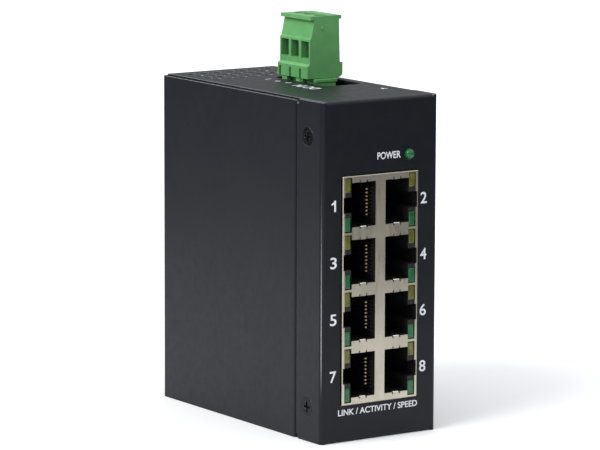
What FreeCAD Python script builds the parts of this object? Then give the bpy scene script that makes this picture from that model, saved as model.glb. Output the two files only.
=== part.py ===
import FreeCAD, Part
import os
import Sketcher

# Eight port Ethernet switch for a 35 mm mounting rail.
# Lengths are millimetres.  +Z is up, the sockets face -Y and the rail clip is on the +Y side.
# The origin is the centre of the case's bottom face.

SIZES = (
    # folded steel case
    ("case_width", 39.0),
    ("case_depth", 82.0),
    ("case_height", 95.2),
    ("sheet_gauge", 1.0),
    ("bend_radius", 1.3),
    ("flange_reach", 12.2),      # side flange of the front chassis, from the front face
    ("seam_gap", 0.4),
    ("panel_gap", 0.2),          # between the top panel and the cover's side panels
    ("cover_drop", 0.5),         # the cover's top edge sits this far below the top panel
    ("edge_lift", 0.1),          # lower edges of flanges and cover above the bottom face
    ("corner_round", 1.0),
    ("vent_radius", 1.25),
    ("vent_pitch", 4.5),
    ("vent_first_row", 21.5),
    # opening over the power header
    ("cutout_left", 3.0),
    ("cutout_right", 16.0),
    ("cutout_front", -10.5),
    ("cutout_rear", 17.5),
    ("cutout_round", 3.0),
    # case screws, M3 countersunk
    ("screw_setback", 7.1),      # behind the front face
    ("screw_low", 9.7),
    ("screw_high", 85.1),
    ("thread_radius", 1.45),
    ("hole_radius", 1.5),
    ("sunk_radius", 2.7),
    ("screw_reach", 5.0),
    ("tab_front", -37.4),
    ("tab_rear", -25.3),
    ("tab_half_height", 6.0),
    # socket block, two columns of four
    ("jack_middle", -0.3),
    ("jack_half_width", 12.65),
    ("jack_low", 10.6),
    ("jack_high", 74.4),
    ("jack_front", -41.6),
    ("jack_rear", -13.0),
    ("shield_gauge", 0.3),
    ("port_pitch", 15.875),
    ("port_low", 18.69),         # centre height of the lowest pair of sockets
    ("web_half_width", 1.65),
    ("cavity_reach", 8.0),
    ("cavity_half_height", 6.2),
    ("cavity_deep", 15.0),
    ("latch_reach", 2.75),
    ("latch_half_height", 2.2),
    ("lamp_inset", 0.2),
    ("lamp_reach", 1.85),
    ("lamp_near", 3.4),
    ("lamp_far", 7.4),
    ("lamp_deep", 6.0),
    ("tongue_half_width", 0.95),
    ("slit_width", 0.4),
    ("slit_depth", 1.1),
    ("contact_pitch", 1.016),
    ("contact_width", 0.42),
    ("contact_gauge", 0.3),
    # circuit board and what stands on it
    ("board_face", 14.0),
    ("board_gauge", 1.6),
    ("board_front", -37.0),
    ("board_step", -29.5),
    ("board_rear", 32.0),
    ("board_low", 4.2),
    ("board_high", 90.7),
    ("post_radius", 2.75),
    ("post_front", -22.0),
    ("post_back", 28.0),
    ("post_low", 7.3),
    ("post_high", 87.0),
    # power header and its plug, three poles
    ("pole_pitch", 5.08),
    ("pole_middle", 6.92),
    ("plug_half_length", 7.62),
    ("header_left", 5.2),
    ("header_right", 12.8),
    ("header_base", 82.0),
    ("header_rim", 96.0),
    ("header_half_length", 8.4),
    ("header_wall", 0.8),
    ("rim_height", 1.0),
    ("rim_step", 0.3),
    ("pin_axis", 9.0),
    ("pin_half", 0.5),
    ("pin_tip", 92.0),
    ("pin_level", 79.5),
    ("plug_top", 113.9),
    ("plug_seat", 96.2),
    ("plug_tip", 85.0),
    ("clamp_axis", 9.2),
    ("clamp_screw_radius", 1.4),
    ("clamp_head_radius", 1.9),
    ("cage_low", 99.5),
    ("cage_high", 106.0),
    ("cage_rise", 3.0),
    # power lamp
    ("lamp_x", 9.6),
    ("lamp_z", 79.1),
    ("lamp_radius", 1.5),
    # rail clip
    ("rail_middle", 50.0),
    ("rail_half_height", 17.5),
    ("clip_half_width", 12.0),
    ("clip_gauge", 3.4),
    ("clip_low", 10.0),
    ("clip_high", 78.0),
    ("hook_reach", 3.6),
    ("rail_slot", 1.4),
    ("latch_half_width", 7.9),
    ("nose_half_width", 5.8),
    ("latch_low", 4.0),
)

doc = FreeCAD.newDocument("rail_switch")
sheet = doc.addObject("Spreadsheet::Sheet", "sizes")


class Size:
    """A length that knows its number and the spreadsheet expression it comes from."""

    def __init__(self, value, text):
        self.value = value
        self.text = text

    def __add__(self, other):
        other = as_size(other)
        return Size(self.value + other.value, f"({self.text} + {other.text})")

    def __sub__(self, other):
        other = as_size(other)
        return Size(self.value - other.value, f"({self.text} - {other.text})")

    def __mul__(self, factor):
        return Size(self.value * factor, f"({self.text} * {factor:g})")

    def __truediv__(self, factor):
        return Size(self.value / factor, f"({self.text} / {factor:g})")

    def __neg__(self):
        return Size(-self.value, f"(0 - {self.text})")

    def __radd__(self, other):
        return as_size(other) + self

    def __rsub__(self, other):
        return as_size(other) - self

    __rmul__ = __mul__


def as_size(number):
    return number if isinstance(number, Size) else Size(float(number), f"({number:.6f})")


def fill_sheet():
    """Write every driving dimension to the sheet and hand back one Size for each."""
    named = {}
    for row, (alias, number) in enumerate(SIZES, start=1):
        sheet.set(f"A{row}", alias)
        sheet.set(f"B{row}", str(number))
        sheet.setAlias(f"B{row}", alias)
        named[alias] = Size(number, f"sizes.{alias}")
    doc.recompute()
    return named


S = fill_sheet()

# Planes and levels that several pieces share.
HALF_WIDTH = S["case_width"] / 2
FRONT = -(S["case_depth"] / 2)
BACK = S["case_depth"] / 2
TOP = S["case_height"]
GAUGE = S["sheet_gauge"]
INNER_WIDTH = HALF_WIDTH - GAUGE
SEAM = FRONT + S["flange_reach"] + S["seam_gap"]
SCREW_LINE = FRONT + S["screw_setback"]
BOARD_FACE = S["board_face"]
BOARD_BACK = S["board_face"] + S["board_gauge"]
PLUG_FRONT = S["pole_middle"] - S["plug_half_length"]
PLUG_REAR = S["pole_middle"] + S["plug_half_length"]
POLES = [S["pole_middle"] + S["pole_pitch"] * step for step in (-1, 0, 1)]
CLIP_FACE = BACK + S["clip_gauge"]
PLANES = {"x": "YZ_Plane", "y": "XZ_Plane", "z": "XY_Plane"}

nodes = []


def keep(label, piece):
    """Name a finished sub-part; its label is the name of its file."""
    piece.Label = label
    nodes.append(piece)
    return piece


# ---- Part primitives bound to the sheet ------------------------------------------------------

def bind(piece, **properties):
    for name, size in properties.items():
        piece.setExpression(name.replace("__", "."), as_size(size).text)


def place(piece, x, y, z):
    bind(piece, Placement__Base__x=x, Placement__Base__y=y, Placement__Base__z=z)


def box(x, y, z):
    """A block given by its low and high limit along each axis."""
    low, high = zip(*[(as_size(a), as_size(b)) for a, b in (x, y, z)])
    piece = doc.addObject("Part::Box", "block")
    place(piece, *low)
    bind(piece, Length=high[0] - low[0], Width=high[1] - low[1], Height=high[2] - low[2])
    return piece


TURNS = {
    "x": FreeCAD.Rotation(FreeCAD.Vector(0, 1, 0), 90),
    "y": FreeCAD.Rotation(FreeCAD.Vector(1, 0, 0), -90),
    "z": FreeCAD.Rotation(),
}


def along(axis, low, across):
    """Base point of a round piece on an axis, from its start and its two other coordinates."""
    point = list(across)
    point.insert("xyz".index(axis), low)
    return point


def rod(axis, across, span, radius):
    """A cylinder along an axis, from the low to the high limit of its span."""
    piece = doc.addObject("Part::Cylinder", "rod")
    piece.Placement = FreeCAD.Placement(FreeCAD.Vector(), TURNS[axis])
    place(piece, *along(axis, span[0], across))
    bind(piece, Radius=radius, Height=as_size(span[1]) - span[0])
    return piece


def cone(axis, across, span, low_radius, high_radius):
    piece = doc.addObject("Part::Cone", "cone")
    piece.Placement = FreeCAD.Placement(FreeCAD.Vector(), TURNS[axis])
    place(piece, *along(axis, span[0], across))
    bind(piece, Radius1=low_radius, Radius2=high_radius, Height=as_size(span[1]) - span[0])
    return piece


def ball(x, y, z, radius):
    piece = doc.addObject("Part::Sphere", "ball")
    place(piece, x, y, z)
    bind(piece, Radius=radius)
    return piece


def fuse(pieces):
    if len(pieces) == 1:
        return pieces[0]
    joined = doc.addObject("Part::MultiFuse", "fused")
    joined.Shapes = pieces
    return joined


def cut(piece, tools):
    result = doc.addObject("Part::Cut", "cut")
    result.Base = piece
    result.Tool = fuse(tools)
    return result


def group(pieces):
    """Separate solids that share one node."""
    together = doc.addObject("Part::Compound", "group")
    together.Links = pieces
    return together


def rounded(piece, radius, wanted):
    """Round the edges of a piece whose middle point passes the test."""
    doc.recompute()
    result = doc.addObject("Part::Fillet", "rounded")
    result.Base = piece
    chosen = [i for i, edge in enumerate(piece.Shape.Edges, start=1) if wanted(edge.CenterOfMass)]
    result.Edges = [(i, radius, radius) for i in chosen]
    return result


# ---- PartDesign bodies with sketches bound to the sheet --------------------------------------

def new_body(label):
    return keep(label, doc.addObject("PartDesign::Body", label))


def new_sketch(body, axis, offset):
    """A sketch square to an axis; a y sketch looks along -Y, so its offset changes sign."""
    plane = [f for f in body.Origin.OriginFeatures if f.Role == PLANES[axis]][0]
    sketch = body.newObject("Sketcher::SketchObject", "sketch")
    sketch.AttachmentSupport = [(plane, "")]
    sketch.MapMode = "FlatFace"
    sketch.setExpression("AttachmentOffset.Base.z", as_size(offset).text)
    return sketch


def fix_point(sketch, edge, end, point):
    for kind, size in zip(("DistanceX", "DistanceY"), point):
        index = sketch.addConstraint(Sketcher.Constraint(kind, -1, 1, edge, end, size.value))
        sketch.setExpression(f"Constraints[{index}]", size.text)


def direction(start, end):
    step = FreeCAD.Vector(end[0].value - start[0].value, end[1].value - start[1].value, 0)
    return step.normalize()


def draw_outline(sketch, corners):
    """A closed outline; a corner with a third number is rounded to that radius."""
    points = [tuple(as_size(c) for c in corner) for corner in corners]
    path = []
    for index, corner in enumerate(points):
        if len(corner) == 2:
            path.append((corner, None))
            continue
        radius = corner[2]
        way_in = direction(points[index - 1], corner)
        way_out = direction(corner, points[(index + 1) % len(points)])
        first = tuple(corner[k] - radius * way_in[k] for k in (0, 1))
        second = tuple(corner[k] + radius * way_out[k] for k in (0, 1))
        centre = FreeCAD.Vector(first[0].value, first[1].value, 0) + way_out * radius.value
        path.append((first, (radius, centre, way_in.cross(way_out).z > 0)))
        path.append((second, None))
    ends = []
    for index, (point, arc) in enumerate(path):
        after = path[(index + 1) % len(path)][0]
        start = FreeCAD.Vector(point[0].value, point[1].value, 0)
        stop = FreeCAD.Vector(after[0].value, after[1].value, 0)
        if arc is None:
            edge = sketch.addGeometry(Part.LineSegment(start, stop), False)
            ends.append((edge, 1, 2))
            continue
        radius, centre, turns_left = arc
        circle = Part.Circle(centre, FreeCAD.Vector(0, 0, 1), radius.value)
        first, last = (start, stop) if turns_left else (stop, start)
        curve = Part.ArcOfCircle(circle, circle.parameter(first), circle.parameter(last))
        edge = sketch.addGeometry(curve, False)
        ends.append((edge, 1, 2) if turns_left else (edge, 2, 1))
    for index, (edge, start, stop) in enumerate(ends):
        after = ends[(index + 1) % len(ends)]
        sketch.addConstraint(Sketcher.Constraint("Coincident", edge, stop, after[0], after[1]))
        fix_point(sketch, edge, start, path[index][0])
        if path[index][1] is not None:
            radius = path[index][1][0]
            number = sketch.addConstraint(Sketcher.Constraint("Radius", edge, radius.value))
            sketch.setExpression(f"Constraints[{number}]", radius.text)


def draw_circle(sketch, across, up, radius):
    across, up, radius = as_size(across), as_size(up), as_size(radius)
    centre = FreeCAD.Vector(across.value, up.value, 0)
    edge = sketch.addGeometry(Part.Circle(centre, FreeCAD.Vector(0, 0, 1), radius.value), False)
    fix_point(sketch, edge, 3, (across, up))
    number = sketch.addConstraint(Sketcher.Constraint("Radius", edge, radius.value))
    sketch.setExpression(f"Constraints[{number}]", radius.text)


def rectangle(across, up, radius=None):
    """Corners of a rectangle from its limits, rounded if a radius is given."""
    corners = ((across[0], up[0]), (across[1], up[0]), (across[1], up[1]), (across[0], up[1]))
    return [corner + (radius,) for corner in corners] if radius else corners


def prism(body, kind, axis, span, outlines=(), circles=()):
    """Add or remove a straight prism square to an axis, between the two limits of its span."""
    low, high = as_size(span[0]), as_size(span[1])
    sketch = new_sketch(body, axis, -high if axis == "y" else low)
    for corners in outlines:
        draw_outline(sketch, corners)
    for circle in circles:
        draw_circle(sketch, *circle)
    doc.recompute()
    before = body.Shape.Volume if kind == "Pocket" else 0
    feature = body.newObject(f"PartDesign::{kind}", kind.lower())
    feature.Profile = sketch
    feature.Reversed = kind == "Pocket"
    bind(feature, Length=high - low)
    doc.recompute()
    if kind == "Pocket" and not before - body.Shape.Volume > 1e-4:
        raise RuntimeError(f"a pocket in {body.Label} removes nothing")


def add(body, axis, span, outlines=(), circles=()):
    prism(body, "Pad", axis, span, outlines, circles)


def remove(body, axis, span, outlines=(), circles=()):
    prism(body, "Pocket", axis, span, outlines, circles)


def round_edges(body, radius, wanted):
    """Round the edges of the body's tip whose middle point passes the test."""
    tip = body.Tip
    chosen = [f"Edge{i}" for i, edge in enumerate(tip.Shape.Edges, start=1) if wanted(edge)]
    fillet = body.newObject("PartDesign::Fillet", "fillet")
    fillet.Base = (tip, chosen)
    bind(fillet, Radius=radius)
    doc.recompute()


def is_near(value, size):
    return abs(value - as_size(size).value) < 0.01


# ---- folded steel case -----------------------------------------------------------------------

def make_front_chassis():
    """One folded sheet: front, top and bottom panels, and a side flange down each side."""
    body = new_body("front_chassis")
    rear = BACK - GAUGE - S["panel_gap"]
    half = INNER_WIDTH - S["panel_gap"]
    bend = S["bend_radius"]
    inside = bend - GAUGE
    channel = (
        (FRONT, 0, bend), (rear, 0), (rear, GAUGE), (FRONT + GAUGE, GAUGE, inside),
        (FRONT + GAUGE, TOP - GAUGE, inside), (rear, TOP - GAUGE), (rear, TOP), (FRONT, TOP, bend),
    )
    add(body, "x", (-half, half), [channel])
    flange_end = FRONT + S["flange_reach"]
    flanged = (
        (-HALF_WIDTH, FRONT, bend), (HALF_WIDTH, FRONT, bend), (HALF_WIDTH, flange_end),
        (INNER_WIDTH, flange_end), (INNER_WIDTH, FRONT + GAUGE, inside),
        (-INNER_WIDTH, FRONT + GAUGE, inside), (-INNER_WIDTH, flange_end), (-HALF_WIDTH, flange_end),
    )
    add(body, "z", (bend, TOP - bend), [flanged])
    low = S["edge_lift"]
    high = TOP - S["edge_lift"]
    start = HALF_WIDTH - bend - 0.2
    for side in (-1, 1):
        corner = (
            (HALF_WIDTH * side, FRONT, bend), (start * side, FRONT), (start * side, FRONT + GAUGE),
            (INNER_WIDTH * side, FRONT + GAUGE), (INNER_WIDTH * side, flange_end),
            (HALF_WIDTH * side, flange_end),
        )
        add(body, "z", (low, high), [corner])

    def flange_corner(edge):
        middle = edge.CenterOfMass
        at_end = is_near(middle.y, flange_end)
        return at_end and (is_near(middle.z, low) or is_near(middle.z, high))

    round_edges(body, S["corner_round"], flange_corner)
    middle = S["jack_middle"]
    window = S["jack_half_width"] + 0.2
    remove(
        body, "y", (FRONT - 1, FRONT + 2),
        [rectangle((middle - window, middle + window), (S["jack_low"] - 0.2, S["jack_high"] + 0.2))],
        [(S["lamp_x"], S["lamp_z"], S["lamp_radius"] + 0.1)],
    )
    remove(
        body, "z", (TOP - 2, TOP + 1),
        [rectangle((S["cutout_left"], S["cutout_right"]), (S["cutout_front"], S["cutout_rear"]),
                   S["cutout_round"])],
    )
    vents = [
        (S["vent_pitch"] * column, S["vent_first_row"] + S["vent_pitch"] * row, S["vent_radius"])
        for row in range(4) for column in range(-3, 4)
    ]
    remove(body, "z", (-1, TOP + 1), circles=vents)
    holes = [(SCREW_LINE, height, S["hole_radius"]) for height in (S["screw_low"], S["screw_high"])]
    remove(body, "x", (-HALF_WIDTH - 1, HALF_WIDTH + 1), circles=holes)
    return body


def make_countersunk_chassis():
    """The chassis with the four screw holes opened out to the screws' cone heads."""
    body = make_front_chassis()
    nodes.remove(body)
    body.Label = "chassis_blank"
    cones = []
    for height in (S["screw_low"], S["screw_high"]):
        rim = S["sunk_radius"] + 0.05
        cones.append(cone("x", (SCREW_LINE, height), (-HALF_WIDTH, -INNER_WIDTH), rim, S["hole_radius"]))
        cones.append(cone("x", (SCREW_LINE, height), (INNER_WIDTH, HALF_WIDTH), S["hole_radius"], rim))
    keep("front_chassis", cut(body, cones))


def make_rear_cover():
    """One folded sheet: two side panels and the back, with four screw tabs inside the flanges."""
    body = new_body("rear_cover")
    bend = S["bend_radius"]
    inside = bend - GAUGE
    low = S["edge_lift"]
    high = TOP - S["cover_drop"]
    folded = (
        (-HALF_WIDTH, SEAM), (-INNER_WIDTH, SEAM), (-INNER_WIDTH, BACK - GAUGE, inside),
        (INNER_WIDTH, BACK - GAUGE, inside), (INNER_WIDTH, SEAM), (HALF_WIDTH, SEAM),
        (HALF_WIDTH, BACK, bend), (-HALF_WIDTH, BACK, bend),
    )
    add(body, "z", (low, high), [folded])

    def front_corner(edge):
        middle = edge.CenterOfMass
        return is_near(middle.y, SEAM) and (is_near(middle.z, low) or is_near(middle.z, high))

    round_edges(body, S["corner_round"], front_corner)
    reach = S["tab_half_height"]
    tabs = [
        rectangle((S["tab_front"], S["tab_rear"]), (height - reach, height + reach), 1.0)
        for height in (S["screw_low"] + 0.5, S["screw_high"] - 0.5)
    ]
    add(body, "x", (-INNER_WIDTH, -INNER_WIDTH + GAUGE), tabs)
    add(body, "x", (INNER_WIDTH - GAUGE, INNER_WIDTH), tabs)
    holes = [(SCREW_LINE, height, S["hole_radius"]) for height in (S["screw_low"], S["screw_high"])]
    remove(body, "x", (-HALF_WIDTH, HALF_WIDTH), circles=holes)
    clip_holes = [(across, up, S["hole_radius"]) for across, up in clip_screw_places()]
    remove(body, "y", (BACK - 2, BACK + 1), circles=clip_holes)


def cross_recess(axis, across, span):
    """Two crossed blades that cut a cross recess into a screw head."""
    wide, narrow = 1.55, 0.35
    blades = []
    for first, second in ((wide, narrow), (narrow, wide)):
        limits = [
            (across[0] - first, across[0] + first),
            (across[1] - second, across[1] + second),
        ]
        limits.insert("xyz".index(axis), span)
        blades.append(box(*limits))
    return blades


def make_case_screws():
    screws = []
    for height in (S["screw_low"], S["screw_high"]):
        at = (SCREW_LINE, height)
        for side in (-1, 1):
            head = HALF_WIDTH * side
            neck = INNER_WIDTH * side
            tip = head - S["screw_reach"] * side
            radii = (S["sunk_radius"], S["thread_radius"])
            if side < 0:
                taper = cone("x", at, (head, neck), *radii)
                shank = rod("x", at, (neck, tip), S["thread_radius"])
                recess = cross_recess("x", at, (head - 0.5, head + 0.8))
            else:
                taper = cone("x", at, (neck, head), *reversed(radii))
                shank = rod("x", at, (tip, neck), S["thread_radius"])
                recess = cross_recess("x", at, (head - 0.8, head + 0.5))
            screws.append(cut(fuse([taper, shank]), recess))
    keep("case_screws", group(screws))


# ---- socket block ----------------------------------------------------------------------------

def ports():
    """Each socket: its number, the side it opens its latch to, and its centre height."""
    found = []
    for row in range(4):
        height = S["port_low"] + S["port_pitch"] * (3 - row)
        found.append((2 * row + 1, -1, height))
        found.append((2 * row + 2, 1, height))
    return found


def sideways(side, near, far):
    """Limits in X of something between two distances out from the middle of the socket block."""
    middle = S["jack_middle"]
    return (middle - far, middle - near) if side < 0 else (middle + near, middle + far)


WALL_INNER = S["web_half_width"]
WALL_OUTER = S["web_half_width"] + S["cavity_reach"]


def cavity_boxes(side, height, depth):
    """Main opening of a socket and the narrower one for the plug's latch."""
    reach = S["cavity_half_height"]
    slot = S["latch_half_height"]
    main = box(sideways(side, WALL_INNER, WALL_OUTER), depth, (height - reach, height + reach))
    latch = box(
        sideways(side, WALL_OUTER - 1, WALL_OUTER + S["latch_reach"]), depth,
        (height - slot, height + slot),
    )
    return [main, latch]


def lamp_boxes(side, height, depth, up, spare=0.0):
    """The lamp window beside the latch, above it if up is 1 and below it if up is -1."""
    inner = WALL_OUTER + S["lamp_inset"] - spare
    outer = WALL_OUTER + S["lamp_inset"] + S["lamp_reach"] + spare
    near, far = S["lamp_near"] - spare, S["lamp_far"] + spare
    levels = (height + near, height + far) if up > 0 else (height - far, height - near)
    return [box(sideways(side, inner, outer), depth, levels)]


def make_jack_shield():
    """Plated sheet over the front, ends, left side and rear of the socket block."""
    gauge = S["shield_gauge"]
    half = S["jack_half_width"]
    left = S["jack_middle"] - half
    front, rear = S["jack_front"], S["jack_rear"]
    low, high = S["jack_low"], S["jack_high"]
    shell = box((left, BOARD_FACE), (front, rear), (low, high))
    hollow = box(
        (left + gauge, BOARD_FACE + 1), (front + gauge, rear - gauge), (low + gauge, high - gauge),
    )
    side_front = box(
        (S["jack_middle"] + half, BOARD_FACE + 1), (front - 1, front + 2.5), (low - 1, high + 1),
    )
    through = (front - 1, front + gauge + 0.01)
    windows = []
    tongues = []
    for _, side, height in ports():
        windows += cavity_boxes(side, height, through)
        lamp_half = S["lamp_far"] + 0.2
        lamp_edge = WALL_OUTER + S["lamp_inset"] + S["lamp_reach"] + 0.2
        column = sideways(side, WALL_OUTER - 0.1, lamp_edge)
        windows.append(box(column, through, (height - lamp_half, height + lamp_half)))
        centre = sum(sideways(side, WALL_INNER, WALL_OUTER), Size(0, "0")) / 2
        for up in (-1, 1):
            edge = height + S["cavity_half_height"] * up
            outer = edge + S["slit_depth"] * up
            levels = (edge - 0.1, outer) if up > 0 else (outer, edge + 0.1)
            for way in (-1, 1):
                slit = centre + (S["tongue_half_width"] + S["slit_width"] / 2) * way
                half_slit = S["slit_width"] / 2
                windows.append(box((slit - half_slit, slit + half_slit), through, levels))
            inner = edge - gauge * up
            lip = (inner, edge) if up > 0 else (edge, inner)
            reach = S["tongue_half_width"]
            tongues.append(box((centre - reach, centre + reach), (front, front + 1.6), lip))
    plain = cut(shell, [hollow, side_front] + windows)
    keep("jack_shield", fuse([plain] + tongues))


def make_jack_housing():
    """Black moulded insert block with eight plug cavities and sixteen lamp pockets."""
    gauge = S["shield_gauge"]
    left = S["jack_middle"] - S["jack_half_width"] + gauge
    right = S["jack_middle"] + S["jack_half_width"]
    front = S["jack_front"] + gauge
    block = box(
        (left, right), (front, S["jack_rear"] - gauge), (S["jack_low"] + gauge, S["jack_high"] - gauge),
    )
    feet = box(
        (right - 1, BOARD_FACE), (front + 3, S["jack_rear"] - gauge),
        (S["jack_low"] + gauge, S["jack_high"] - gauge),
    )
    hollows = []
    for _, side, height in ports():
        hollows += cavity_boxes(side, height, (front - 1, front + S["cavity_deep"]))
        for up in (1, -1):
            hollows += lamp_boxes(side, height, (front - 1, front + S["lamp_deep"]), up)
    keep("jack_housing", cut(fuse([block, feet]), hollows))


def make_contacts():
    """Eight gilded springs in each socket, rising from the web into the cavity."""
    front = S["jack_front"] + S["shield_gauge"]
    gauge = S["contact_gauge"]
    half = S["contact_width"] / 2
    for number, side, height in ports():
        springs = []
        for step in range(8):
            level = height + S["contact_pitch"] * (step - 3.5)
            levels = (level - half, level + half)
            foot = box(sideways(side, WALL_INNER, WALL_INNER + gauge), (front + 3.2, front + 5.2), levels)
            blade = box((0, gauge), (0, 8.2), (0, S["contact_width"]))
            turn = 26 if side < 0 else -26
            blade.Placement.Rotation = FreeCAD.Rotation(FreeCAD.Vector(0, 0, 1), turn)
            hinge = sideways(side, WALL_INNER, WALL_INNER + gauge)
            corner = hinge[0] if side < 0 else hinge[0] + 0.03
            place(blade, corner, front + 4.9, level - half)
            springs.append(fuse([foot, blade]))
        keep(f"port_{number}_contacts", group(springs))


def make_port_lamps():
    """Rectangular lamp lenses: yellow at the top and green at the foot of each socket."""
    front = S["jack_front"]
    for label, up in (("yellow_lamps", 1), ("green_lamps", -1)):
        lenses = []
        for _, side, height in ports():
            depth = (front + 0.15, front + S["shield_gauge"] + S["lamp_deep"])
            lenses += lamp_boxes(side, height, depth, up, -0.03)
        keep(label, group(lenses))


# ---- circuit board ---------------------------------------------------------------------------

def posts():
    places = []
    for along_depth in (S["post_front"], S["post_back"]):
        for up in (S["post_low"], S["post_high"]):
            places.append((along_depth, up))
    return places


def make_board():
    body = new_body("circuit_board")
    front, step, rear = S["board_front"], S["board_step"], S["board_rear"]
    low, high = S["board_low"], S["board_high"]
    edge = (
        (front, low + 8.8), (step, low + 8.8), (step, low), (rear, low),
        (rear, high), (step, high), (step, high - 9.0), (front, high - 9.0),
    )
    add(body, "x", (BOARD_FACE, BOARD_BACK), [edge])
    holes = [(y, z, 1.6) for y, z in posts()]
    holes += [(y, S["pin_level"] + 0.5, 0.8) for y in POLES]
    holes += [(front + 4.0, S["lamp_z"] + shift, 0.4) for shift in (-1.27, 1.27)]
    remove(body, "x", (BOARD_FACE - 1, BOARD_BACK + 1), circles=holes)


def make_board_fixings():
    pillars = []
    screws = []
    for at in posts():
        pillar = rod("x", at, (BOARD_BACK, INNER_WIDTH), S["post_radius"])
        pillars.append(cut(pillar, [rod("x", at, (BOARD_BACK - 1, INNER_WIDTH + 1), S["hole_radius"])]))
        head = rod("x", at, (BOARD_FACE - 2.0, BOARD_FACE), 2.7)
        rim = (BOARD_FACE - 2.0).value
        head = rounded(head, 0.7, lambda point: is_near(point.x, rim))
        shank = rod("x", at, (BOARD_FACE - 0.5, INNER_WIDTH - 0.2), S["thread_radius"])
        recess = cross_recess("x", at, (BOARD_FACE - 2.5, BOARD_FACE - 1.0))
        screws.append(cut(fuse([head, shank]), recess))
    keep("board_posts", group(pillars))
    keep("board_screws", group(screws))


def make_chip(label, at, half_size, thick, leads):
    """A moulded chip with gull-wing leads on the sides square to Z, and to Y if asked."""
    y, z = at
    half_y, half_z = half_size
    face = ((y - half_y, y + half_y), (z - half_z, z + half_z))
    pieces = [box((BOARD_FACE - thick, BOARD_FACE - 0.15), *face)]
    along_y, along_z = leads
    for count, half, across in ((along_y, half_y, "y"), (along_z, half_z, "z")):
        if not count:
            continue
        pitch = 2.0 * half / (count + 1)
        for index in range(count):
            shift = -half + pitch * (index + 1)
            for way in (-1, 1):
                limits = (-1.4, 0.2) if way < 0 else (-0.2, 1.4)
                if across == "y":
                    end = z + half_z * way
                    area = ((y + shift - pitch / 4, y + shift + pitch / 4),
                            (end + limits[0], end + limits[1]))
                else:
                    end = y + half_y * way
                    area = ((end + limits[0], end + limits[1]),
                            (z + shift - pitch / 4, z + shift + pitch / 4))
                pieces.append(box((BOARD_FACE - 0.3, BOARD_FACE), *area))
    keep(label, fuse(pieces))


def make_board_parts():
    make_chip("switch_chip", (14.0, 36.0), (7.0, 7.0), 1.6, (14, 14))
    make_chip("upper_transformers", (-5.5, 58.0), (3.6, 14.0), 5.4, (0, 20))
    make_chip("lower_transformers", (-5.5, 26.0), (3.6, 14.0), 5.4, (0, 20))
    make_chip("regulator_chip", (24.0, 62.0), (2.0, 2.5), 1.6, (0, 4))
    can = box((BOARD_FACE - 3.6, BOARD_FACE - 0.4), (23.4, 28.0), (30.5, 41.5))
    flange = box((BOARD_FACE - 0.8, BOARD_FACE), (23.0, 28.4), (30.1, 41.9))
    can = rounded(can, 2.2, lambda point: is_near(point.x, BOARD_FACE.value - 2.0))
    keep("crystal", fuse([can, flange]))
    core = box((BOARD_FACE - 4.0, BOARD_FACE - 0.3), (9.0, 16.0), (60.0, 67.0))
    core = rounded(core, 1.2, lambda point: is_near(point.x, BOARD_FACE.value - 2.15))
    pad = box((BOARD_FACE - 0.3, BOARD_FACE), (8.6, 16.4), (61.5, 65.5))
    keep("power_inductor", fuse([core, pad]))
    for label, at, radius, tall in (
        ("input_capacitor", (22.0, 76.5), 4.0, 10.2), ("output_capacitor", (21.0, 52.5), 3.15, 5.8),
    ):
        y, z = at
        foot = box((BOARD_FACE - 1.2, BOARD_FACE), (y - radius, y + radius), (z - radius, z + radius))
        can = rod("x", at, (BOARD_FACE - tall, BOARD_FACE - 1.0), radius - 0.05)
        top = (BOARD_FACE - tall).value
        can = rounded(can, 0.6, lambda point, top=top: is_near(point.x, top))
        keep(label, fuse([can, foot]))
    body = box((BOARD_FACE - 1.1, BOARD_FACE), (8.4, 13.2), (71.0, 74.4))
    keep("input_fuse", body)
    body = box((BOARD_FACE - 2.3, BOARD_FACE - 0.2), (1.6, 5.9), (71.2, 73.8))
    tails = box((BOARD_FACE - 1.0, BOARD_FACE), (1.1, 6.4), (71.8, 73.2))
    keep("input_diode", fuse([body, tails]))
    chips = []
    for y, z in ((3.2, 30.0), (3.2, 36.0), (3.2, 42.0), (24.5, 24.5), (18.0, 24.5), (11.5, 24.5),
                 (11.5, 47.5), (17.5, 46.5), (28.2, 58.0), (28.2, 66.0)):
        chips.append(box((BOARD_FACE - 0.9, BOARD_FACE), (y - 0.8, y + 0.8), (z - 1.6, z + 1.6)))
    keep("bypass_capacitors", group(chips))
    rows = []
    for index in range(8):
        z = 14.0 + index * 7.0
        rows.append(box((BOARD_FACE - 0.55, BOARD_FACE), (1.0 - 0.5, 1.0 + 0.5), (z - 1.0, z + 1.0)))
    keep("line_resistors", group(rows))


def make_power_lamp():
    """A 3 mm green lamp in the front panel, bent down to the board in a black holder."""
    x, z = S["lamp_x"], S["lamp_z"]
    radius = S["lamp_radius"]
    dome = ball(x, FRONT - 0.1, z, radius)
    barrel = rod("y", (x, z), (FRONT - 0.1, FRONT + 4.4), radius)
    collar = rod("y", (x, z), (FRONT + GAUGE + 0.1, FRONT + GAUGE + 1.1), radius + 0.4)
    pieces = [dome, barrel, collar]
    bend = S["board_front"] + 4.0
    for shift in (-1.27, 1.27):
        level = z + shift
        wire = (level - 0.25, level + 0.25)
        pieces.append(box((x - 0.25, x + 0.25), (FRONT + 4.0, bend + 0.25), wire))
        pieces.append(box((x, BOARD_BACK + 0.8), (bend - 0.25, bend + 0.25), wire))
    keep("power_lamp", fuse(pieces))
    holder = box((x - 2.0, BOARD_FACE), (FRONT + 4.6, bend + 1.4), (z - 2.1, z + 2.1))
    slots = [
        box((x - 0.4, BOARD_FACE + 1), (FRONT + 4.0, bend + 0.4), (z + shift - 0.4, z + shift + 0.4))
        for shift in (-1.27, 1.27)
    ]
    keep("lamp_holder", cut(holder, slots))


# ---- power header and plug -------------------------------------------------------------------

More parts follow.
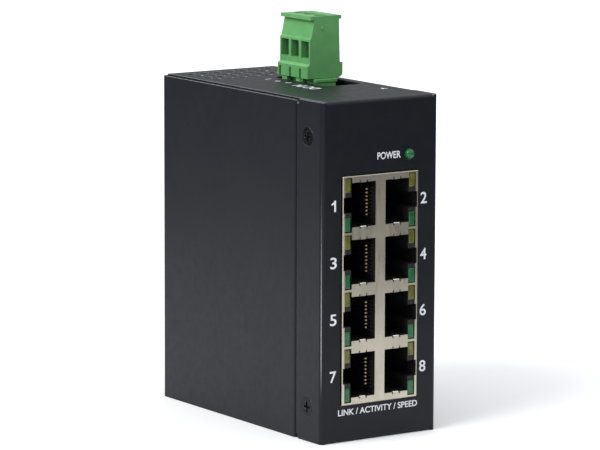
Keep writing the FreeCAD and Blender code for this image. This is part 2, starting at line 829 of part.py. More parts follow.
def make_header():
    """Right-angle shrouded header at the top edge of the board, open upwards, with a stepped rim."""
    middle = S["pole_middle"]
    half = S["header_half_length"]
    wall = S["header_wall"]
    step = S["rim_step"]
    left, right = S["header_left"], S["header_right"]
    base, top = S["header_base"], S["header_rim"]
    rim = box((left, right), (middle - half, middle + half), (top - S["rim_height"], top))
    shroud = box((left + step, right - step), (middle - half + step, middle + half - step), (base, top))
    foot = box((right - 1, BOARD_FACE), (middle - half + step, middle + half - step), (base, base + 8.5))
    well = box((left + wall, right - wall), (middle - half + wall, middle + half - wall), (base + 2, top + 1))
    pin = S["pin_half"]
    tools = [well]
    for pole in POLES:
        across = (S["pin_axis"] - pin, S["pin_axis"] + pin)
        tools.append(box(across, (pole - pin, pole + pin), (base - 1, base + 3)))
    keep("power_header", cut(fuse([rim, shroud, foot]), tools))
    pins = []
    for pole in POLES:
        axis = S["pin_axis"]
        level = S["pin_level"]
        upright = box((axis - pin, axis + pin), (pole - pin, pole + pin), (level, S["pin_tip"]))
        tail = box((axis, BOARD_BACK + 1.2), (pole - pin, pole + pin), (level, level + 1.0))
        pins.append(fuse([upright, tail]))
    keep("header_pins", group(pins))


def make_terminal_plug():
    """Green moulded plug: wires go in from the left, screws are turned from above."""
    body = new_body("terminal_plug")
    top = S["plug_top"]
    seat = S["plug_seat"]
    span = (PLUG_FRONT, PLUG_REAR)
    section = (
        (4.0, top - 1.05), (5.4, top - 1.05), (4.25, 107.6), (3.8, 107.4), (3.8, 100.3), (3.0, 99.6),
        (3.0, seat), (14.3, seat), (15.1, seat + 0.8), (15.1, 100.4), (14.15, 100.4),
        (13.8, top - 1.05), (14.6, top - 1.05), (14.6, top), (4.0, top),
    )
    add(body, "y", span, [section])
    inset = 0.15
    add(
        body, "z", (S["plug_tip"], seat + 0.5),
        [rectangle((6.1, 11.9), (PLUG_FRONT + inset, PLUG_REAR - inset), 0.4)],
    )
    ribs = [
        rectangle((3.4, 4.7), (centre - 1.3, centre + 1.3))
        for centre in (POLES[0] + 2.6, POLES[2] - 0.4)
    ]
    add(body, "z", (91.8, seat + 0.5), ribs)
    axis = S["clamp_axis"]
    ceiling = S["cage_high"] + S["cage_rise"] + 0.3
    windows = [rectangle((pole - 1.92, pole + 1.92), (101.9, 106.7)) for pole in POLES]
    remove(body, "x", (3.0, 6.0), windows)
    pockets = [rectangle((5.7, 13.0), (pole - 2.05, pole + 2.05)) for pole in POLES]
    remove(body, "z", (S["cage_low"] - 0.3, ceiling), pockets)
    shafts = [(axis, pole, S["clamp_screw_radius"] + 0.1) for pole in POLES]
    remove(body, "z", (ceiling - 0.5, top - 3.4), circles=shafts)
    wells = [(axis, pole, S["clamp_head_radius"] + 0.15) for pole in POLES]
    remove(body, "z", (top - 3.6, top + 1), circles=wells)
    sockets = [rectangle((7.9, 13.0), (pole - 1.3, pole + 1.3)) for pole in POLES]
    remove(body, "z", (96.6, S["cage_low"]), sockets)
    throats = [rectangle((7.9, 10.2), (pole - 1.3, pole + 1.3)) for pole in POLES]
    remove(body, "z", (S["plug_tip"] - 1, 97.0), throats)
    slots = [rectangle((pole + 0.8, pole + 1.8), (seat - 1, 98.9)) for pole in POLES]
    remove(body, "x", (2.0, 3.9), slots)


def make_clamps():
    """A rising cage and a captive screw for each pole, and the fixed contact between them."""
    axis = S["clamp_axis"]
    low, high = S["cage_low"], S["cage_high"]
    contacts = []
    for number, pole in enumerate(POLES, start=1):
        frame = box((axis - 2.9, axis + 2.8), (pole - 1.97, pole + 1.97), (low, high))
        mouth = box((axis - 4, axis + 4), (pole - 1.5, pole + 1.5), (low + 0.8, high - 0.8))
        thread = rod("z", (axis, pole), (high - 2, high + 1), S["clamp_screw_radius"] + 0.05)
        keep(f"clamp_cage_{number}", cut(frame, [mouth, thread]))
        head_top = S["plug_top"] - 1.6
        seat = S["plug_top"] - 3.55
        head = rod("z", (axis, pole), (seat, head_top), S["clamp_head_radius"])
        shank = rod("z", (axis, pole), (high - 0.75, seat + 0.5), S["clamp_screw_radius"])
        slot = box((axis - 0.35, axis + 0.35), (pole - 2.5, pole + 2.5), (head_top - 0.9, head_top + 1))
        keep(f"clamp_screw_{number}", cut(fuse([head, shank]), [slot]))
        wide = (pole - 1.1, pole + 1.1)
        bar = box((5.9, 12.8), wide, (high - 1.65, high - 0.85))
        riser = box((12.2, 12.8), wide, (97.3, high - 0.85))
        pin = S["pin_axis"]
        shelf = box((pin - 0.9, 12.8), wide, (97.3, 97.9))
        legs = [
            box((pin - 0.9, pin - 0.55), wide, (86.0, 97.9)),
            box((pin + 0.55, pin + 0.9), wide, (86.0, 97.9)),
        ]
        contacts.append(fuse([bar, riser, shelf] + legs))
    keep("plug_contacts", group(contacts))


# ---- rail clip -------------------------------------------------------------------------------

def clip_screw_places():
    return ((-7.5, 60.0), (7.5, 60.0), (0.0, 43.0))


def make_clip_base():
    """Moulded clip plate with the fixed upper hook and the guide for the sliding latch."""
    blank = new_body("clip_blank")
    nodes.remove(blank)
    half = S["clip_half_width"]
    rail_top = S["rail_middle"] + S["rail_half_height"]
    hook = CLIP_FACE + S["hook_reach"]
    lip = CLIP_FACE + S["rail_slot"]
    profile = (
        (BACK, S["clip_low"]), (CLIP_FACE, S["clip_low"]), (CLIP_FACE, rail_top + 0.4),
        (lip, rail_top + 0.4), (lip, rail_top - 1.9), (hook - 0.8, rail_top - 1.9), (hook, rail_top - 1.1),
        (hook, rail_top + 4.5), (CLIP_FACE, S["clip_high"]), (BACK, S["clip_high"]),
    )
    add(blank, "x", (-half, half), [profile])
    guide = S["latch_half_width"] + 0.2
    for side in (-1, 1):
        near, far = guide - 1.9, half
        limits = (-far, -near) if side < 0 else (near, far)
        add(blank, "y", (CLIP_FACE - 0.2, CLIP_FACE + 1.2), [rectangle(limits, (12.0, 28.0))])
    remove(blank, "y", (BACK + 1.0, CLIP_FACE), [rectangle((-guide, guide), (S["clip_low"] - 1, 36.0))])
    add(blank, "y", (BACK + 0.8, CLIP_FACE - 0.3), [rectangle((-2.4, 2.4), (13.2, 15.0))])
    tools = []
    for across, up in clip_screw_places():
        at = (across, up)
        tools.append(rod("y", at, (BACK - 1, CLIP_FACE), S["hole_radius"]))
        tools.append(cone("y", at, (CLIP_FACE - 1.3, CLIP_FACE), S["hole_radius"], S["sunk_radius"] + 0.1))
    keep("clip_base", cut(blank, tools))


def make_clip_latch():
    """Sliding foot: a flat bar with a nose that hooks over the rail's lower edge and a pull tab."""
    body = new_body("clip_latch")
    half = S["latch_half_width"]
    front = BACK + 1.1
    rear = CLIP_FACE - 0.1
    low = S["latch_low"]
    rail_foot = S["rail_middle"] - S["rail_half_height"]
    add(body, "y", (front, rear), [rectangle((-half, half), (low, rail_foot - 0.3), 0.8)])
    lip = CLIP_FACE + S["rail_slot"]
    tip = CLIP_FACE + 3.4
    nose = (
        (rear - 0.2, rail_foot - 4.2), (tip - 0.9, rail_foot - 4.2), (tip, rail_foot - 3.3),
        (tip, rail_foot + 0.4), (tip - 1.2, rail_foot + 1.7), (lip, rail_foot + 1.7),
        (lip, rail_foot - 0.3), (rear - 0.2, rail_foot - 0.3),
    )
    wide = S["nose_half_width"]
    add(body, "x", (-wide, wide), [nose])
    pull = (
        (rear - 0.2, low), (CLIP_FACE + 1.2, low), (CLIP_FACE + 2.2, low + 1.0),
        (CLIP_FACE + 2.2, low + 4.2), (rear - 0.2, low + 5.2),
    )
    add(body, "x", (-half, half), [pull])
    remove(body, "y", (front - 1, CLIP_FACE + 4), [rectangle((-3.0, 3.0), (low + 1.4, low + 3.2), 0.4)])
    remove(body, "y", (front - 1, rear + 1), [rectangle((-2.6, 2.6), (13.0, 26.0), 0.4)])


def make_clip_spring():
    """Compression spring between the base's peg and the top of the latch's window."""
    wire = 0.22
    helix = doc.addObject("Part::Helix", "spring_path")
    helix.Pitch = 1.5
    helix.Height = 10.4
    helix.Radius = 0.8
    section = doc.addObject("Part::Circle", "spring_wire")
    section.Radius = wire
    section.Placement = FreeCAD.Placement(
        FreeCAD.Vector(0.8, 0, 0), FreeCAD.Rotation(FreeCAD.Vector(1, 0, 0), 90))
    coil = doc.addObject("Part::Sweep", "spring_coil")
    coil.Sections = [section]
    coil.Spine = (helix, [])
    coil.Solid = True
    coil.Frenet = True
    place(coil, 0, BACK + 2.2, 15.3)
    keep("clip_spring", coil)


def make_clip_screws():
    screws = []
    for at in clip_screw_places():
        taper = cone("y", at, (CLIP_FACE - 1.3, CLIP_FACE - 0.05), S["thread_radius"], S["sunk_radius"])
        shank = rod("y", at, (BACK - 2.6, CLIP_FACE - 1.2), S["thread_radius"])
        recess = cross_recess("y", at, (CLIP_FACE - 0.85, CLIP_FACE + 0.5))
        screws.append(cut(fuse([taper, shank]), recess))
    keep("clip_screws", group(screws))


def make_all():
    make_countersunk_chassis()
    make_rear_cover()
    make_case_screws()
    make_jack_shield()
    make_jack_housing()
    make_contacts()
    make_port_lamps()
    make_board()
    make_board_fixings()
    make_board_parts()
    make_power_lamp()
    make_header()
    make_terminal_plug()
    make_clamps()
    make_clip_base()
    make_clip_latch()
    make_clip_spring()
    make_clip_screws()


def check_document():
    doc.recompute()
    for item in doc.Objects:
        if "Invalid" in item.State or "Error" in item.State:
            raise RuntimeError(f"{item.Label} did not build: {item.State}")
    for piece in nodes:
        shape = piece.Shape
        if shape.isNull() or not shape.isValid() or not shape.Solids:
            raise RuntimeError(f"{piece.Label} has no valid solid")


def write_parts():
    os.makedirs("parts", exist_ok=True)
    for piece in nodes:
        piece.Shape.exportStep(f"parts/{piece.Label}.step")
        print(f"{piece.Label}: {len(piece.Shape.Solids)} solid, {piece.Shape.Volume:.0f} mm3")


make_all()
check_document()
write_parts()
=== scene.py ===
import math

import bmesh
import bpy
from mathutils import Matrix, Vector


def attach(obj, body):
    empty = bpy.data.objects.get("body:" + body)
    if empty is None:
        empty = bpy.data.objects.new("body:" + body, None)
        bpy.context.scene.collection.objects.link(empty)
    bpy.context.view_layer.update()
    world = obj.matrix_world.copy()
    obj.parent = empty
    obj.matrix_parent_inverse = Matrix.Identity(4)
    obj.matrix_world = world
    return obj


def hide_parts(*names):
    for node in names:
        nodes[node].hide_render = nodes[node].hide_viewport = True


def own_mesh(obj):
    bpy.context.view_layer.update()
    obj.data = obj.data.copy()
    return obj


MM = 0.001
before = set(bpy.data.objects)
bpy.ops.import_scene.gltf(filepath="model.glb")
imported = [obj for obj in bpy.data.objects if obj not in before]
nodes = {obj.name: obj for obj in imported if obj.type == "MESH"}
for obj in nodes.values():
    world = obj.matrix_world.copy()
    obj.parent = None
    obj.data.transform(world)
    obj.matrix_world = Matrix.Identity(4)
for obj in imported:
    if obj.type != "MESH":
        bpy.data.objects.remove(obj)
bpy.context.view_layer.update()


# ---- camera ----------------------------------------------------------------------------------

def make_camera():
    forward = Vector((0.5546, 0.8174, -0.1559)).normalized()
    right = forward.cross(Vector((0.0847, 0.1309, 0.9878))).normalized()
    upward = right.cross(forward)
    facing = Matrix((right, upward, -forward)).transposed()
    bpy.ops.object.camera_add(
        location=Vector((-590.05, -871.23, 220.57)) * MM, rotation=facing.to_euler())
    camera = bpy.context.active_object
    camera.name = "view"
    camera.data.sensor_width = 36.0
    camera.data.lens = 224.1
    camera.data.clip_start = 0.05
    camera.data.clip_end = 50.0
    bpy.context.scene.camera = camera


make_camera()


# ---- modelling: every piece is built in millimetres and brought to metres when it is finished --

def choose(piece):
    """Make the piece the only one selected."""
    bpy.ops.object.select_all(action="DESELECT")
    piece.select_set(True)
    bpy.context.view_layer.objects.active = piece


def settle(name):
    """Name the object just added and put its place, turn and size into its mesh."""
    piece = bpy.context.active_object
    piece.name = name
    bpy.ops.object.transform_apply(location=True, rotation=True, scale=True)
    return piece


def block(name, x, y, z):
    bpy.ops.object.select_all(action="DESELECT")
    spans = (x, y, z)
    bpy.ops.mesh.primitive_cube_add(
        size=1,
        location=[(low + high) / 2 for low, high in spans],
        scale=[high - low for low, high in spans],
    )
    return settle(name)


TURNS = {"x": (0, math.pi / 2, 0), "y": (-math.pi / 2, 0, 0), "z": (0, 0, 0)}


def rod(name, axis, at, span, radius, far_radius=None, sides=40):
    """Cylinder or cone along an axis; at is its place on the two other axes."""
    bpy.ops.object.select_all(action="DESELECT")
    low, high = span
    spot = list(at)
    spot.insert("xyz".index(axis), (low + high) / 2)
    bpy.ops.mesh.primitive_cone_add(
        vertices=sides, radius1=radius, radius2=radius if far_radius is None else far_radius,
        depth=high - low, location=spot, rotation=TURNS[axis],
    )
    return settle(name)


def rounded(corners, steps=6):
    """Closed outline; a corner with a third number is rounded to that radius."""
    points = []
    count = len(corners)
    for index, corner in enumerate(corners):
        here = Vector(corner[:2])
        if len(corner) < 3 or not corner[2]:
            points.append(tuple(here))
            continue
        before = (Vector(corners[index - 1][:2]) - here).normalized()
        after = (Vector(corners[(index + 1) % count][:2]) - here).normalized()
        half = before.angle(after) / 2
        centre = here + (before + after).normalized() * corner[2] / math.sin(half)
        reach = corner[2] / math.tan(half)
        start = here + before * reach - centre
        stop = here + after * reach - centre
        first = math.atan2(start.y, start.x)
        sweep = (math.atan2(stop.y, stop.x) - first + math.pi) % (2 * math.pi) - math.pi
        for step in range(steps + 1):
            angle = first + sweep * step / steps
            points.append((centre.x + corner[2] * math.cos(angle), centre.y + corner[2] * math.sin(angle)))
    return points


def rectangle(across, up, radius=0.0):
    corners = ((across[0], up[0]), (across[1], up[0]), (across[1], up[1]), (across[0], up[1]))
    return rounded([corner + (radius,) for corner in corners])


def strip(points, thick):
    """Outline of a strip of even thickness along a line of points."""
    line = [Vector(point) for point in points]
    sides = ([], [])
    for index, point in enumerate(line):
        ahead = line[min(index + 1, len(line) - 1)] - line[max(index - 1, 0)]
        across = Vector((-ahead.y, ahead.x)).normalized() * thick / 2
        sides[0].append(tuple(point + across))
        sides[1].append(tuple(point - across))
    return sides[0] + sides[1][::-1]


PRISM_TURNS = {"x": (math.pi / 2, 0, math.pi / 2), "y": (math.pi / 2, 0, 0), "z": (0, 0, 0)}


def prism(name, axis, span, outline):
    """Straight piece drawn as a flat closed outline and given its depth along the axis."""
    low, high = span
    drawing = bpy.data.curves.new(name, "CURVE")
    drawing.dimensions = "2D"
    drawing.fill_mode = "BOTH"
    drawing.extrude = (high - low) / 2
    line = drawing.splines.new("POLY")
    line.points.add(len(outline) - 1)
    for point, (across, up) in zip(line.points, outline):
        point.co = (across, up, 0, 1)
    line.use_cyclic_u = True
    piece = bpy.data.objects.new(name, drawing)
    bpy.context.collection.objects.link(piece)
    choose(piece)
    bpy.ops.object.convert(target="MESH")
    piece = bpy.context.active_object
    piece.rotation_euler = PRISM_TURNS[axis]
    piece.location["xyz".index(axis)] = (low + high) / 2
    settle(name)
    tidy(piece, clear=True)
    return piece


def tidy(piece, clear=False):
    """Merge doubled points and face every side outwards; clear takes leftover edges off flat faces."""
    choose(piece)
    bpy.ops.object.mode_set(mode="EDIT")
    bpy.ops.mesh.select_all(action="SELECT")
    bpy.ops.mesh.remove_doubles(threshold=0.002)
    if clear:
        bpy.ops.mesh.dissolve_limited(angle_limit=math.radians(0.6))
    bpy.ops.mesh.normals_make_consistent(inside=False)
    bpy.ops.object.mode_set(mode="OBJECT")


def pick(piece, kind, test):
    """In edit mode, select only the points, edges or faces that pass the test."""
    bpy.ops.mesh.select_mode(type=kind)
    bpy.ops.mesh.select_all(action="DESELECT")
    mesh = bmesh.from_edit_mesh(piece.data)
    for element in {"VERT": mesh.verts, "EDGE": mesh.edges, "FACE": mesh.faces}[kind]:
        if test(element):
            element.select_set(True)
    mesh.select_flush_mode()
    bmesh.update_edit_mesh(piece.data)


def round_edges(piece, width, test, steps=3):
    """Bevel the edges whose two ends both pass the test."""
    choose(piece)
    bpy.ops.object.mode_set(mode="EDIT")
    pick(piece, "EDGE", lambda edge: all(test(corner.co) for corner in edge.verts))
    bpy.ops.mesh.bevel(offset=width, segments=steps, affect="EDGES")
    bpy.ops.object.mode_set(mode="OBJECT")


def join(name, pieces):
    bpy.ops.object.select_all(action="DESELECT")
    for piece in pieces:
        piece.select_set(True)
    bpy.context.view_layer.objects.active = pieces[0]
    if len(pieces) > 1:
        bpy.ops.object.join()
    pieces[0].name = name
    return pieces[0]


def combine(piece, others, operation):
    """Weld the other pieces on to this one, or cut them out of it."""
    tool = join("tool", others)
    choose(piece)
    bpy.ops.object.modifier_add(type="BOOLEAN")
    change = piece.modifiers[-1]
    change.operation = operation
    change.solver = "EXACT"
    change.use_self = len(others) > 1
    change.object = tool
    bpy.ops.object.modifier_apply(modifier=change.name)
    bpy.data.objects.remove(tool)
    return piece


def weld(piece, others):
    return combine(piece, others, "UNION")


def carve(piece, others):
    return combine(piece, others, "DIFFERENCE")


def soften(piece, width, steps=2, degrees=42):
    """Take the sharpness off every edge turned by more than the angle."""
    tidy(piece)
    choose(piece)
    bpy.ops.object.modifier_add(type="BEVEL")
    change = piece.modifiers[-1]
    change.width = width
    change.segments = steps
    change.limit_method = "ANGLE"
    change.angle_limit = math.radians(degrees)
    change.miter_outer = "MITER_ARC"
    bpy.ops.object.modifier_apply(modifier=change.name)
    return piece


def twin(piece, name, shift=(0, 0, 0), turn=0.0):
    """A copy with its own mesh, turned about the upright axis and then shifted."""
    choose(piece)
    bpy.ops.object.duplicate()
    copy = bpy.context.active_object
    copy.rotation_euler = (0, 0, turn)
    copy.location = shift
    return settle(name)


def mirrored(piece, name, middle):
    """A copy flipped to the other side of an upright plane square to X."""
    choose(piece)
    bpy.ops.object.duplicate()
    copy = bpy.context.active_object
    copy.scale = (-1, 1, 1)
    copy.location = (2 * middle, 0, 0)
    settle(name)
    tidy(copy)
    return copy


def finish(piece, name, material, body, replaced=()):
    """Smooth the shading, bring the piece to metres, and say what it is and what it moves with."""
    choose(piece)
    bpy.ops.object.shade_smooth_by_angle(angle=math.radians(48))
    bpy.ops.object.mode_set(mode="EDIT")
    pick(piece, "FACE", lambda face: max(map(abs, face.normal)) > 0.9999 and face.calc_area() > 0.05)
    bpy.ops.mesh.faces_shade_flat()
    bpy.ops.object.mode_set(mode="OBJECT")
    bpy.ops.object.modifier_add(type="WEIGHTED_NORMAL")
    change = piece.modifiers[-1]
    change.keep_sharp = True
    bpy.ops.object.modifier_apply(modifier=change.name)
    piece.name = name
    piece.scale = (MM, MM, MM)
    bpy.ops.object.transform_apply(location=True, rotation=True, scale=True)
    piece.data.materials.clear()
    piece.data.materials.append(material)
    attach(piece, body)
    if replaced:
        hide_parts(*replaced)
    return piece


# ---- materials -------------------------------------------------------------------------------

def linear(code):
    """Linear colour from a written sRGB one such as #1a2b3c."""
    parts = [int(code[place:place + 2], 16) / 255 for place in (1, 3, 5)]
    return [c / 12.92 if c <= 0.04045 else ((c + 0.055) / 1.055) ** 2.4 for c in parts] + [1.0]


def add(tree, kind, sockets=(), **settings):
    """Add a node; a socket's value is a plain value, or a node or output to be linked."""
    made = tree.nodes.new("ShaderNode" + kind)
    for key, value in settings.items():
        setattr(made, key, value)
    for key, value in dict(sockets).items():
        if isinstance(value, bpy.types.Node):
            value = value.outputs[0]
        if isinstance(value, bpy.types.NodeSocket):
            tree.links.new(value, made.inputs[key])
        else:
            made.inputs[key].default_value = value
    return made


def noise(tree, place, size_mm, detail=2.0, roughness=0.5):
    return add(tree, "TexNoise", {
        "Vector": place, "Scale": 1 / (size_mm * MM), "Detail": detail, "Roughness": roughness})


def ramp(tree, value, low, high, to_low=0.0, to_high=1.0):
    return add(tree, "MapRange", {
        "Value": value, "From Min": low, "From Max": high, "To Min": to_low, "To Max": to_high})


def blend_colours(tree, factor, first, second):
    mixed = add(tree, "Mix", data_type="RGBA")
    for key, value in ((0, factor), (6, first), (7, second)):
        if isinstance(value, bpy.types.Node):
            value = value.outputs[0]
        if isinstance(value, bpy.types.NodeSocket):
            tree.links.new(value, mixed.inputs[key])
        else:
            mixed.inputs[key].default_value = value
    return mixed.outputs[2]


def surface(name, colour, second, rough, grain_mm, height_mm, patch_mm=7.0, metal=0.0,
            level=0.5, specks=None, edge_mm=0.0, edge_colour=None, streak=(1, 1, 1),
            painted_highlight_up=False, coat=0.0, far=None):
    """A finish made of two close colours in soft patches, fine relief and uneven gloss.

    grain and patch sizes are in millimetres; rough gives the least and the greatest roughness;
    specks is (size, share, colour); edge rounds the shading of sharp edges and shows wear there,
    or with the upward flag lays the edge colour only on edges that face upwards, as a painted highlight;
    far is painted shade, a darker colour taken over between two depths from the case front, as (first, last,
    colour).
    """
    material = bpy.data.materials.new(name)
    material.use_nodes = True
    tree = material.node_tree
    tree.nodes.clear()
    place = add(tree, "TexCoord").outputs["Object"]
    stretched = add(tree, "Mapping", {"Vector": place, "Scale": streak})
    patches = noise(tree, place, patch_mm, 3.0)
    tint = blend_colours(tree, ramp(tree, patches, 0.35, 0.65), linear(colour), linear(second))
    grain = noise(tree, stretched, grain_mm, 2.0, 0.55)
    gloss = noise(tree, stretched, grain_mm * 4, 2.0)
    if specks:
        size, share, tone = specks
        apart = size * 40
        dots = add(tree, "TexVoronoi", {"Vector": place, "Scale": 1 / (apart * MM), "Randomness": 1.0})
        chosen = noise(tree, place, size * 60, 1.0)
        near = ramp(tree, dots.outputs["Distance"], 0.032, 0.018)
        some = ramp(tree, chosen, 1 - share, 1.02 - share)
        mask = add(tree, "Math", {0: near, 1: some}, operation="MULTIPLY")
        tint = blend_colours(tree, mask, tint, linear(tone))
    if far:
        # a darker colour deeper in from the front: painted shade in the depth of the socket
        depth = add(tree, "SeparateXYZ", {0: place}).outputs["Y"]
        behind = ramp(tree, depth, far[0] * MM, far[1] * MM)
        tint = blend_colours(tree, behind, tint, linear(far[2]))
    normal = None
    if edge_mm:
        soft = add(tree, "Bevel", {"Radius": edge_mm * MM}, samples=6)
        normal = soft.outputs[0]
        if edge_colour:
            plain = add(tree, "NewGeometry").outputs["True Normal"]
            same = add(tree, "VectorMath", {0: soft, 1: plain}, operation="DOT_PRODUCT")
            edge_wear_and_highlight = ramp(tree, same.outputs["Value"], 0.985, 0.90)
            upward = add(tree, "SeparateXYZ", {0: soft}).outputs["Z"]
            # edges facing up take the edge colour as a painted highlight; otherwise the edge colour is wear
            # in ragged patches
            where = ramp(tree, upward, 0.25, 0.6) if painted_highlight_up else ramp(tree, gloss, 0.42, 0.60)
            ragged = add(tree, "Math", {0: edge_wear_and_highlight, 1: where}, operation="MULTIPLY")
            tint = blend_colours(tree, ragged, tint, linear(edge_colour))
    relief = add(tree, "Bump", {"Height": grain, "Distance": height_mm * MM, "Strength": 1.0})
    if normal:
        tree.links.new(normal, relief.inputs["Normal"])
    shader = add(tree, "BsdfPrincipled", {
        "Base Color": tint, "Metallic": metal, "Normal": relief,
        "Roughness": ramp(tree, gloss, 0.3, 0.7, rough[0], rough[1]),
    })
    if not metal:
        shader.inputs["Specular IOR Level"].default_value = level
    if coat:
        shader.inputs["Coat Weight"].default_value = coat
        shader.inputs["Coat Roughness"].default_value = 0.12
    add(tree, "OutputMaterial", {"Surface": shader})
    return material


# Black powder paint with a fine orange peel, and the odd grain of dust on it; the light grey on its
# upward-facing edges is a painted highlight
case_paint = surface(
    "black powder paint", "#12151b", "#15181d", (0.34, 0.44), 0.55, 0.010, level=0.22,
    specks=(0.15, 0.32, "#5c5f66"), patch_mm=16, edge_mm=0.32, edge_colour="#a4a6ab", painted_highlight_up=True)
# Blackened steel of the case screws, polished a little by the driver
black_steel = surface(
    "blackened steel", "#2a2b2e", "#1d1e21", (0.28, 0.42), 0.35, 0.006, metal=1.0,
    edge_mm=0.12, edge_colour="#8b8d92")
# Nickel-plated shield sheet, faintly drawn along its length
shield_plate = surface(
    "nickel plate", "#c2bcac", "#b8b2a2", (0.26, 0.36), 0.25, 0.003, metal=1.0,
    streak=(1, 1, 0.12), patch_mm=9)
# The same plate made lighter: a painted highlight on the lower tongues, where the light from above catches
# their bends
highlight_plate = surface("nickel with painted highlight", "#f2f0ea", "#e6e3da", (0.18, 0.26), 0.25, 0.002, metal=1.0)
# Black glass-filled moulding of the socket insert
black_insert = surface("black moulding", "#141415", "#1a1a1b", (0.38, 0.52), 0.22, 0.006, level=0.35)
# Hard gold on the noses of the contact springs, turning to a dark painted shade deeper in the socket
contact_gold = surface(
    "gold plate", "#c2b283", "#ab9a68", (0.34, 0.46), 0.15, 0.001, metal=1.0,
    far=(-38.0, -37.6, "#2a261b"))
# Yellow-olive unlit lens, clear at its skin and cloudy inside
yellow_lens = surface(
    "yellow lens", "#666a1c", "#4a4e12", (0.16, 0.24), 0.8, 0.004, level=0.45, coat=0.15, patch_mm=1.8)
# Green unlit lens
green_lens = surface(
    "green lens", "#106b38", "#0a4d26", (0.16, 0.24), 0.8, 0.004, level=0.45, coat=0.15, patch_mm=1.8)
# Green solder resist over glass laminate
board_laminate = surface("solder resist", "#1d5a34", "#184d2d", (0.25, 0.35), 0.4, 0.004, edge_mm=0.05)
# Bright zinc on small steel parts
zinc_steel = surface(
    "zinc plate", "#b7babd", "#a3a7ab", (0.26, 0.4), 0.3, 0.004, metal=1.0, edge_mm=0.12,
    edge_colour="#d9dadc")
# Black epoxy of the chips, with a stippled skin
chip_resin = surface("chip epoxy", "#1f1f21", "#252527", (0.48, 0.62), 0.15, 0.008, edge_mm=0.1)
# Bright drawn aluminium and steel cans
bright_can = surface(
    "bright can", "#c6c8ca", "#b7babc", (0.2, 0.3), 0.3, 0.002, metal=1.0, streak=(1, 1, 0.1), edge_mm=0.15)
# Grey-black sintered ferrite
ferrite = surface("ferrite", "#2c2b2a", "#353432", (0.5, 0.7), 0.2, 0.012, edge_mm=0.1)
# Green glass laminate of the fuse body
fuse_laminate = surface("fuse laminate", "#3b6a45", "#31593a", (0.35, 0.5), 0.2, 0.006, edge_mm=0.08)
# Tan ceramic of the small capacitors
ceramic = surface("tan ceramic", "#9a7c55", "#8b6f4b", (0.4, 0.55), 0.15, 0.004, edge_mm=0.06)
# Green polyamide of the terminal with a satin moulded skin; the real moulding is a little see-through at
# thin edges, which this finish does not show
terminal_green = surface(
    "green polyamide", "#66a866", "#5da05e", (0.30, 0.40), 0.3, 0.005, level=0.5, patch_mm=4)
# Tin plate on the pins and the fixed contacts
tinned_metal = surface(
    "tin plate", "#c9c8c4", "#b5b4b0", (0.22, 0.34), 0.2, 0.002, metal=1.0, edge_mm=0.08)
# Plated steel of clamp cages and screws
clamp_steel = surface(
    "clamp plate", "#aeb0b2", "#989b9e", (0.24, 0.38), 0.25, 0.004, metal=1.0, edge_mm=0.08,
    edge_colour="#d4d5d6")
# Black polyamide of the rail clip
clip_plastic = surface(
    "black polyamide", "#1a1b1c", "#212224", (0.40, 0.55), 0.35, 0.010, level=0.45, edge_mm=0.25,
    edge_colour="#3a3b3e")
# Bright spring wire
spring_steel = surface("spring wire", "#bfc1c4", "#a9abae", (0.18, 0.28), 0.1, 0.001, metal=1.0)
# White screen print, thin enough for the paint's relief to show through
white_print = surface("white print", "#e4e5ea", "#d6d7dc", (0.45, 0.6), 0.5, 0.008, level=0.3, patch_mm=1.5)
# Matt white paper that the switch stands on
floor_white = surface("studio floor", "#f8f8f8", "#f6f6f6", (0.9, 1.0), 8.0, 0.02, level=0.05, patch_mm=400)


# ---- sheet metal case ------------------------------------------------------------------------

# Limits of the case, the sheet it is folded from, and where its two halves meet at the sides
HALF, SIDE_IN = 19.5, 18.5
FRONT, BACK, TOP = -41.0, 41.0, 95.2
SHEET, BEND, INNER_BEND = 1.0, 1.3, 0.3
EDGE_LIFT = 0.1
FLANGE_END, COVER_FRONT = -28.8, -28.4
# Screws as heights, or as places across and up
SCREW_HEIGHTS = (9.7, 85.1)
SCREW_LINE = -33.9
CLIP_SCREWS = ((-7.5, 60.0), (7.5, 60.0), (0.0, 43.0))
# Limits of the socket block
JACK_MIDDLE, JACK_LEFT, JACK_RIGHT = -0.3, -12.95, 12.35
JACK_LOW, JACK_HIGH = 10.6, 74.4
JACK_FRONT, JACK_REAR = -41.6, -13.0
LAMP_SPOT = (9.6, 79.1)


def part_at(piece, levels):
    """Lay level edges round the piece, so that shading at its ends does not run down its length."""
    choose(piece)
    bpy.ops.object.mode_set(mode="EDIT")
    for level in levels:
        bpy.ops.mesh.select_all(action="SELECT")
        bpy.ops.mesh.bisect(plane_co=(0, 0, level), plane_no=(0, 0, 1))
    bpy.ops.object.mode_set(mode="OBJECT")


